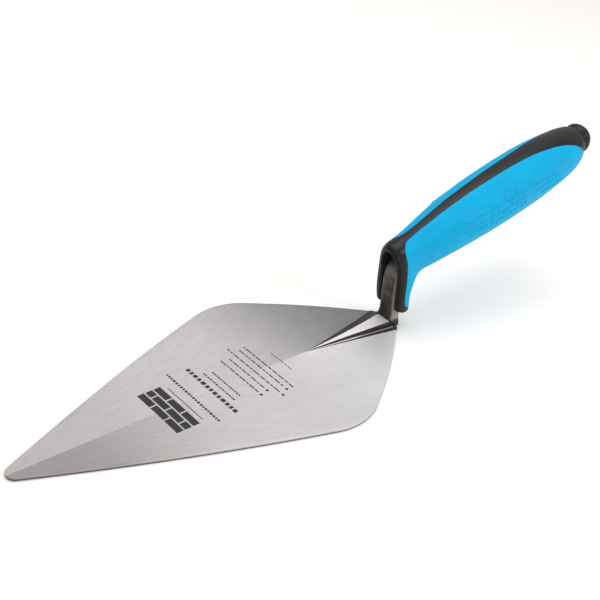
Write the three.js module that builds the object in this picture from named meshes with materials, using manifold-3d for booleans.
// Brick trowel with a narrow-heeled kite blade, a cranked forged shank and a two-material handle.
// Millimetres. +Z up, the blade's underside on Z = 0, its point towards -Y and the handle towards +Y.
// Lengths along the tool are counted from the blade's point; the finished group is then centred on Y.

import * as THREE from 'three';
import { mergeVertices } from 'three/addons/utils/BufferGeometryUtils.js';
import Module from 'manifold-3d';

const wasm = await Module();
wasm.setup();

// ---------------------------------------------------------------- driving dimensions

const FIT_GAP = 0.3;                  // clearance left between touching pieces

const blade = {
  length: 280,                        // point to heel, before the heel is rounded
  sharpPointAt: -7.8,                 // where the long edges would meet before the point is rounded
  shoulderHalfWidth: 68.3,            // sharp shoulder corner, before it is rounded
  shoulderAt: 183,
  shoulderRadius: 46,
  pointRadius: 5,
  heelRadius: 6,
  sideBow: 3,                         // how far the long edges swell past a straight line
  heelBow: 4.2,
  thickness: 1.6,
};

const foot = {
  apexAt: 197,                        // front tip of the arrow-shaped forged foot
  shankAt: 268,
  endAt: 274.5,
  halfWidth: 12.2,                    // at the shank, on the blade
  topHalfWidth: 5.2,                  // of the flat top, at the shank
  rise: 2.2,                          // of the flat top above the blade, at the shank
  skirt: 0.05,                        // upright edge where the slopes meet the blade
  buried: 0.4,                        // depth sunk into the blade, so that the two join
};

const shank = {
  baseHalfWidth: 6.6,
  baseDepth: 7.6,                     // front to back
  halfWidth: 5.7,
  depth: 6.5,
  squareness: 6,                      // superellipse power of its sections
};

const tang = {
  middleAlong: 60,                    // on the handle axis, and the height from that axis
  middleUp: -10,
  endAlong: 118,
  endUp: -8,
  endHalfWidth: 2.4,
  endDepth: 4,
  bondGap: 1.1,                       // adhesive space left round the tang in its socket
};

const handle = {
  axisAt: new THREE.Vector2(255, 55), // (Y, Z) where the handle axis starts
  tilt: THREE.MathUtils.degToRad(15), // rise of the handle axis above the blade
  neckAlong: 180,                     // butt face of the core
  sectionPower: 2.2,                  // superellipse power of the grip sections
  rearPower: 2.4,                     // the same for the rear and underside halves
  gripThickness: 2.6,                 // soft layer over the core
};

const cap = {
  flangeAlong: 184.5,
  endAlong: 188,
  spigotRadius: 5,
  spigotLength: 16,
  spigotUp: -6,                       // height of the spigot's axis from the handle axis
  boreEndRoom: 1,                     // empty space left beyond the spigot's end
};

// Finger guard and collar: front rail (Y, Z), rear rail (Y, Z), half width, squareness of the front.
const guardStations = [
  [269.4, 11.7, 275.2, 11.6, 9.6, 2.8],
  [266.9, 12.8, 277.6, 12.4, 11.1, 3.1],
  [265.7, 15.5, 278.2, 14.8, 11.7, 3.4],
  [263.7, 24.0, 276.8, 21.4, 11.9, 3.6],
  [262.1, 32.0, 277.0, 27.0, 11.9, 3.6],
  [259.9, 40.6, 278.8, 30.6, 11.7, 3.2],
  [257.2, 48.6, 281.0, 32.9, 11.2, 2.8],
  [255.3, 54.8, 283.4, 34.6, 10.6, 2.4],
  [256.8, 59.0, 286.0, 35.9, 10.4, 2.2],
  [263.0, 61.3, 289.0, 37.0, 10.8, 2.2],
  [271.4, 64.0, 292.4, 38.0, 11.6, 2.2],
  [279.6, 67.5, 297.0, 39.3, 12.6, 2.2],
];

// Grip: distance along the handle axis, height of the top and of the underside from it, half width.
const gripStations = [
  [54, 10.0, -26.2, 15.3],
  [81, 12.1, -27.6, 16.7],
  [109, 12.7, -28.0, 17.3],
  [136, 11.9, -27.4, 17.0],
  [163, 8.5, -24.9, 15.2],
  [175, 6.2, -21.2, 13.0],
  [180, 4.4, -16.4, 10.2],
];

// Black spine along the top of the grip: distance along the axis, half width.
const spineStations = [
  [2, 2.8],
  [27, 2.4],
  [54, 3.1],
  [81, 3.9],
  [109, 4.8],
  [136, 6.8],
  [146, 7.8],
];

// Line in (Y, Z) where the hard guard meets the soft layer: down the side, then back under it.
const guardLine = [
  [268.5, 70], [266.6, 62], [264.0, 57.5], [262.8, 52], [264.6, 43.6],
  [265.8, 35], [267.2, 26], [268.4, 20], [270.2, 16.4], [274, 15.2], [290, 15.2],
];

// Line where the hard butt end meets the soft layer: distance along the handle axis, height from it.
const buttLine = [
  [134, 25], [134, 10.9], [150, 8], [163, 4.4], [170, 1], [174.5, -4], [177, -10], [178, -16], [178.4, -30],
];

// Slot in the guard that the shank rises through: (Y, Z) up its rear wall and forward under its roof.
const CHANNEL_HALF_WIDTH = 6.2;
const channelLine = [
  [240, 0], [275.8, 0], [274.6, 13], [272.2, 22], [271.6, 30], [271.6, 47.5],
  [268.1, 51.5], [262.6, 54.2], [257.6, 54.8], [240, 54.8],
];

const CUT_HALF_WIDTH = 22;            // of the blocks that divide the handle, wider than the grip

// ---------------------------------------------------------------- geometry helpers

const HANDLE_U = new THREE.Vector2(Math.cos(handle.tilt), Math.sin(handle.tilt));
const HANDLE_V = new THREE.Vector2(-Math.sin(handle.tilt), Math.cos(handle.tilt));

// (Y, Z) of a point given along the handle axis and square to it.
function onHandle(along, up) {
  return handle.axisAt.clone().addScaledVector(HANDLE_U, along).addScaledVector(HANDLE_V, up);
}

function toSolid(geometry) {
  const bare = geometry.clone();
  bare.deleteAttribute('normal');
  bare.deleteAttribute('uv');
  const merged = mergeVertices(bare, 1e-4);
  const vertProperties = new Float32Array(merged.attributes.position.array);
  const triVerts = new Uint32Array(merged.index.array);
  return new wasm.Manifold(new wasm.Mesh({ numProp: 3, vertProperties, triVerts }));
}

function toGeometry(solid) {
  const mesh = solid.getMesh();
  const geometry = new THREE.BufferGeometry();
  geometry.setAttribute('position', new THREE.BufferAttribute(new Float32Array(mesh.vertProperties), 3));
  geometry.setIndex(new THREE.BufferAttribute(new Uint32Array(mesh.triVerts), 1));
  geometry.computeVertexNormals();
  return geometry;
}

// Closed skin through a list of rings of equal length, with a fan over each end ring.
function loft(rings) {
  const count = rings[0].length;
  const points = rings.flat();
  const index = [];
  for (let r = 0; r < rings.length - 1; r += 1) {
    for (let i = 0; i < count; i += 1) {
      const j = (i + 1) % count;
      const a = r * count + i;
      const b = r * count + j;
      index.push(a, b, b + count, a, b + count, a + count);
    }
  }
  const capRing = (start, flip) => {
    const centre = new THREE.Vector3();
    for (let i = 0; i < count; i += 1) centre.addScaledVector(points[start + i], 1 / count);
    points.push(centre);
    const hub = points.length - 1;
    for (let i = 0; i < count; i += 1) {
      const a = start + i;
      const b = start + (i + 1) % count;
      index.push(...(flip ? [hub, b, a] : [hub, a, b]));
    }
  };
  capRing(0, true);
  capRing((rings.length - 1) * count, false);
  const geometry = new THREE.BufferGeometry().setFromPoints(points);
  geometry.setIndex(index);
  const solid = toSolid(geometry);
  if (solid.volume() > 0) return solid;
  for (let i = 0; i < index.length; i += 3) [index[i], index[i + 1]] = [index[i + 1], index[i]];
  geometry.setIndex(index);
  return toSolid(geometry);
}

// Superellipse ring between a front point and a rear point of the (Y, Z) plane.
function ring(front, rear, halfWidth, frontPower, rearPower, count) {
  const middle = front.clone().add(rear).multiplyScalar(0.5);
  const reach = front.clone().sub(rear).multiplyScalar(0.5);
  const points = [];
  for (let i = 0; i < count; i += 1) {
    const angle = (2 * Math.PI * i) / count;
    const cos = Math.cos(angle);
    const sin = Math.sin(angle);
    const power = 2 / (cos >= 0 ? frontPower : rearPower);
    const along = Math.sign(cos) * Math.abs(cos) ** power;
    const across = Math.sign(sin) * Math.abs(sin) ** power;
    const at = middle.clone().addScaledVector(reach, along);
    points.push(new THREE.Vector3(halfWidth * across, at.x, at.y));
  }
  return points;
}

// Slab of a (Y, Z) outline, centred on X = 0.
function sideSlab(outline, halfWidth) {
  const extrusion = { depth: 2 * halfWidth, bevelEnabled: false };
  const slab = new THREE.ExtrudeGeometry(new THREE.Shape(outline), extrusion);
  slab.translate(0, 0, -halfWidth);
  slab.applyMatrix4(new THREE.Matrix4().set(0, 0, 1, 0, 1, 0, 0, 0, 0, 1, 0, 0, 0, 0, 0, 1));
  return toSolid(slab);
}

// ---------------------------------------------------------------- blade, foot, shank and tang

// Rounds the corner between two straight runs; returns the points of the arc.
function filletArc(before, corner, after, radius, steps) {
  const inward = before.clone().sub(corner).normalize();
  const outward = after.clone().sub(corner).normalize();
  const half = Math.acos(inward.dot(outward)) / 2;
  const middle = inward.clone().add(outward).normalize();
  const centre = corner.clone().addScaledVector(middle, radius / Math.sin(half));
  const tangent = radius / Math.tan(half);
  const start = corner.clone().addScaledVector(inward, tangent).sub(centre);
  const end = corner.clone().addScaledVector(outward, tangent).sub(centre);
  const sweep = (Math.PI - 2 * half) * Math.sign(start.cross(end));
  const points = [];
  for (let i = 0; i <= steps; i += 1) {
    points.push(start.clone().rotateAround(new THREE.Vector2(), (sweep * i) / steps).add(centre));
  }
  return points;
}

// Point of a straight run from a to b that swells sideways by the given bow.
function bowedPoint(a, b, bow, t) {
  const run = b.clone().sub(a);
  const outward = new THREE.Vector2(run.y, -run.x).normalize();
  return a.clone().addScaledVector(run, t).addScaledVector(outward, 4 * bow * t * (1 - t));
}

const POINT_STEPS = 12;
const SHOULDER_STEPS = 20;
const HEEL_STEPS = 10;

// Right half of the outline, point to heel. The fillets replace the ends of both runs, so each run
// is only sampled between them, and each fillet is tangent to its run a little way from the corner.
function bladeHalfOutline() {
  const apex = new THREE.Vector2(0, blade.sharpPointAt);
  const shoulder = new THREE.Vector2(blade.shoulderHalfWidth, blade.shoulderAt);
  const heel = new THREE.Vector2(0, blade.length);
  const mirrored = (point) => new THREE.Vector2(-point.x, point.y);
  const side = (t) => bowedPoint(apex, shoulder, blade.sideBow, t);
  const back = (t) => bowedPoint(shoulder, heel, blade.heelBow, t);
  const nearPoint = side(0.06);
  const nearHeel = back(0.93);
  const point = filletArc(mirrored(nearPoint), apex, nearPoint, blade.pointRadius, POINT_STEPS);
  const corner = filletArc(side(0.9), shoulder, back(0.1), blade.shoulderRadius, SHOULDER_STEPS);
  const end = filletArc(nearHeel, heel, mirrored(nearHeel), blade.heelRadius, HEEL_STEPS);
  const between = (curve, from, to, steps) =>
    Array.from({ length: steps }, (_, i) => curve(from + ((to - from) * i) / (steps - 1)));
  return [
    ...point.slice(POINT_STEPS / 2),
    ...between(side, 0.1, 0.82, 9),
    ...corner,
    ...between(back, 0.32, 0.9, 7),
    ...end.slice(0, HEEL_STEPS / 2 + 1),
  ];
}

function bladePlate() {
  const right = bladeHalfOutline();
  const left = right.slice(1, -1).reverse().map((point) => new THREE.Vector2(-point.x, point.y));
  const outline = new THREE.Shape([...right, ...left]);
  return toSolid(new THREE.ExtrudeGeometry(outline, { depth: blade.thickness, bevelEnabled: false }));
}

// Low arrow-shaped boss that spreads the shank's load into the blade.
// Stations: distance from the point, share of the full width, share of the full rise.
function footBoss() {
  const stations = [
    [foot.apexAt, 0.02, 0.1],
    [THREE.MathUtils.lerp(foot.apexAt, foot.shankAt, 0.5), 0.5, 0.35],
    [foot.shankAt, 1, 1],
    [THREE.MathUtils.lerp(foot.shankAt, foot.endAt, 0.4), 0.8, 1],
    [foot.endAt, 0.12, 0.1],
  ];
  const rings = stations.map(([at, spread, rise]) => {
    const low = blade.thickness - foot.buried;
    const edge = blade.thickness + foot.skirt;
    const top = blade.thickness + foot.rise * rise;
    const wide = foot.halfWidth * spread;
    const narrow = foot.topHalfWidth * spread;
    return [
      new THREE.Vector3(-wide, at, low),
      new THREE.Vector3(wide, at, low),
      new THREE.Vector3(wide, at, edge),
      new THREE.Vector3(narrow, at, top),
      new THREE.Vector3(-narrow, at, top),
      new THREE.Vector3(-wide, at, edge),
    ];
  });
  return loft(rings);
}

// Shank and tang in one bar. Each row: middle (Y, Z), direction that its section faces, half width, depth.
function shankRows() {
  const tangMiddle = onHandle(tang.middleAlong, tang.middleUp);
  const tangEnd = onHandle(tang.endAlong, tang.endUp);
  return [
    [270.2, 0.8, 4, shank.baseHalfWidth, shank.baseDepth],
    [270.2, 5.0, 4, shank.baseHalfWidth - 0.2, shank.baseDepth],
    [269.7, 11.0, 6, shank.halfWidth + 0.1, shank.depth + 0.3],
    [266.8, 28.0, 8, shank.halfWidth, shank.depth],
    [265.9, 36.0, 2, shank.halfWidth, shank.depth],
    [267.2, 40.9, -34, shank.halfWidth, shank.depth],
    [271.3, 43.7, -64, shank.halfWidth, shank.depth],
    [281.0, 47.2, -68, 4.9, 6],
    [tangMiddle.x, tangMiddle.y, -72, 3.8, 5.2],
    [tangEnd.x, tangEnd.y, -75, tang.endHalfWidth, tang.endDepth],
  ];
}

const SHANK_POINTS = 20;
const THROAT_ROW = 5;                 // row just below the opening in the guard's roof
const TANG_ROW = 7;                   // first row inside the handle core

// The bar, or its part from the given row on, grown on every side for a clearance.
function shankBar(grow, firstRow) {
  const rows = shankRows().slice(firstRow);
  const rings = rows.map(([y, z, leanDegrees, halfWidth, depth], row) => {
    const lean = THREE.MathUtils.degToRad(leanDegrees);
    const facing = new THREE.Vector2(-Math.cos(lean), -Math.sin(lean)).multiplyScalar(depth / 2 + grow);
    const stretch = row === rows.length - 1 ? grow : 0;
    const middle = new THREE.Vector2(y, z).addScaledVector(HANDLE_U, stretch);
    const front = middle.clone().add(facing);
    const rear = middle.clone().sub(facing);
    return ring(front, rear, halfWidth + grow, shank.squareness, shank.squareness, SHANK_POINTS);
  });
  return loft(rings);
}

function tangAdhesive() {
  return shankBar(tang.bondGap, TANG_ROW).subtract(shankBar(FIT_GAP, TANG_ROW - 1));
}

function forging() {
  return bladePlate().add(footBoss()).add(shankBar(0, 0));
}

// ---------------------------------------------------------------- handle

const RING_POINTS = 32;
const FIRST_SHELL_STATION = 2;        // the soft layer stops above the rounded tips of the guard

function handleStations() {
  const guard = guardStations.map(([frontY, frontZ, rearY, rearZ, halfWidth, power]) => ({
    front: new THREE.Vector2(frontY, frontZ),
    rear: new THREE.Vector2(rearY, rearZ),
    halfWidth,
    power,
  }));
  const grip = gripStations.map(([along, top, bottom, halfWidth]) => ({
    front: onHandle(along, top),
    rear: onHandle(along, bottom),
    halfWidth,
    power: handle.sectionPower,
  }));
  return [...guard, ...grip];
}

// Whole outer skin of guard and grip, pulled in by an inset.
function handleEnvelope(inset, firstStation) {
  const stations = handleStations().slice(firstStation);
  const front = new THREE.SplineCurve(stations.map((s) => s.front));
  const rear = new THREE.SplineCurve(stations.map((s) => s.rear));
  const girth = new THREE.SplineCurve(stations.map((s) => new THREE.Vector2(s.halfWidth, s.power)));
  const steps = 2 * (stations.length - 1);
  const rings = [];
  for (let i = 0; i <= steps; i += 1) {
    const t = i / steps;
    const top = front.getPoint(t);
    const bottom = rear.getPoint(t);
    const size = girth.getPoint(t);
    const pull = top.clone().sub(bottom).normalize().multiplyScalar(inset);
    const halfWidth = size.x - inset;
    rings.push(ring(top.sub(pull), bottom.add(pull), halfWidth, size.y, handle.rearPower, RING_POINTS));
  }
  return loft(rings);
}

const GUARD_TURN_AT = 269;            // Y beyond which the guard line runs back under the soft layer

// Everything in front of the guard line and below it. A gap moves its side back and its underrun up.
function guardBlock(gap) {
  const outline = guardLine.map(([y, z]) => new THREE.Vector2(y + gap, y > GUARD_TURN_AT ? z + gap : z));
  outline.push(new THREE.Vector2(290, 0), new THREE.Vector2(240, 0), new THREE.Vector2(240, 70));
  return sideSlab(outline, CUT_HALF_WIDTH);
}

// Hard spine that shows along the top of the grip.
function spineBlock(gap) {
  const rings = spineStations.map(([along, halfWidth]) => {
    const low = onHandle(along, -8);
    const high = onHandle(along, 25);
    const half = halfWidth + gap;
    return [
      new THREE.Vector3(-half, low.x, low.y),
      new THREE.Vector3(half, low.x, low.y),
      new THREE.Vector3(half, high.x, high.y),
      new THREE.Vector3(-half, high.x, high.y),
    ];
  });
  return loft(rings);
}

// Everything behind the butt line. A gap moves its upper run down and its lower run forward.
function buttBlock(gap) {
  const moved = ([along, up]) => (up > 0 ? onHandle(along, up - gap) : onHandle(along - gap, up));
  const outline = buttLine.map(moved);
  outline.push(onHandle(200, -30), onHandle(200, 25));
  return sideSlab(outline, CUT_HALF_WIDTH);
}

// Slot for the shank, open at the front and at the bottom.
function shankChannel() {
  return sideSlab(channelLine.map(([y, z]) => new THREE.Vector2(y, z)), CHANNEL_HALF_WIDTH);
}

// Round peg along the handle axis, between two distances along it.
function capSpigot(radius, from, to) {
  const spigot = new THREE.CylinderGeometry(radius, radius, to - from, 24);
  spigot.rotateX(handle.tilt);
  const middle = onHandle((from + to) / 2, cap.spigotUp);
  spigot.translate(0, middle.x, middle.y);
  return toSolid(spigot);
}

function handleCore() {
  const skin = handleEnvelope(0, 0);
  const shown = skin.intersect(guardBlock(0).add(spineBlock(0)).add(buttBlock(0)));
  const hidden = handleEnvelope(handle.gripThickness, FIRST_SHELL_STATION);
  const throat = shankBar(FIT_GAP, THROAT_ROW);
  const socket = shankBar(tang.bondGap + FIT_GAP, TANG_ROW);
  const boreEnd = handle.neckAlong - cap.spigotLength - cap.boreEndRoom;
  const bore = capSpigot(cap.spigotRadius + FIT_GAP, boreEnd, handle.neckAlong + 2);
  return shown.add(hidden).subtract(shankChannel()).subtract(throat).subtract(socket).subtract(bore);
}

// Soft layer: the outer skin less the core and less the three places where the core shows.
function softGrip() {
  const skin = handleEnvelope(0, FIRST_SHELL_STATION);
  const hidden = handleEnvelope(handle.gripThickness - FIT_GAP, FIRST_SHELL_STATION);
  return skin
    .subtract(hidden)
    .subtract(guardBlock(FIT_GAP))
    .subtract(spineBlock(FIT_GAP))
    .subtract(buttBlock(FIT_GAP));
}

function endCap() {
  const rows = [
    [handle.neckAlong + FIT_GAP, 3.7, -15.7, 9.6],
    [cap.flangeAlong - 2, 3.7, -15.7, 9.6],
    [cap.flangeAlong, 4.2, -16.2, 10.1],
    [cap.endAlong - 1.2, 3.7, -15.7, 9.6],
    [cap.endAlong, 2.4, -14.4, 8.3],
    [cap.endAlong + 0.8, -2, -10, 4],
  ];
  const rings = rows.map(([along, top, bottom, halfWidth]) =>
    ring(onHandle(along, top), onHandle(along, bottom), halfWidth, 2.2, 2.2, RING_POINTS));
  const spigotFrom = handle.neckAlong - cap.spigotLength;
  return loft(rings).add(capSpigot(cap.spigotRadius, spigotFrom, handle.neckAlong + 2));
}

// ---------------------------------------------------------------- assembly

const finishes = {
  steel: new THREE.MeshStandardMaterial({ color: 0xc4c0be, roughness: 0.32, metalness: 1 }),
  blackPlastic: new THREE.MeshStandardMaterial({ color: 0x262629, roughness: 0.5, metalness: 0 }),
  curedAdhesive: new THREE.MeshStandardMaterial({ color: 0xb49a6a, roughness: 0.7, metalness: 0 }),
  blueSoft: new THREE.MeshStandardMaterial({ color: 0x08a8e0, roughness: 0.6, metalness: 0 }),
};

function part(name, solid, material) {
  const mesh = new THREE.Mesh(toGeometry(solid), material);
  mesh.name = name;
  return mesh;
}

const trowel = new THREE.Group();
trowel.add(
  part('blade_forging', forging(), finishes.steel),
  part('handle_core', handleCore(), finishes.blackPlastic),
  part('tang_adhesive', tangAdhesive(), finishes.curedAdhesive),
  part('soft_grip', softGrip(), finishes.blueSoft),
  part('end_cap', endCap(), finishes.blackPlastic),
);
const extent = new THREE.Box3().setFromObject(trowel);
trowel.position.y = -(extent.min.y + extent.max.y) / 2;

export default trowel;
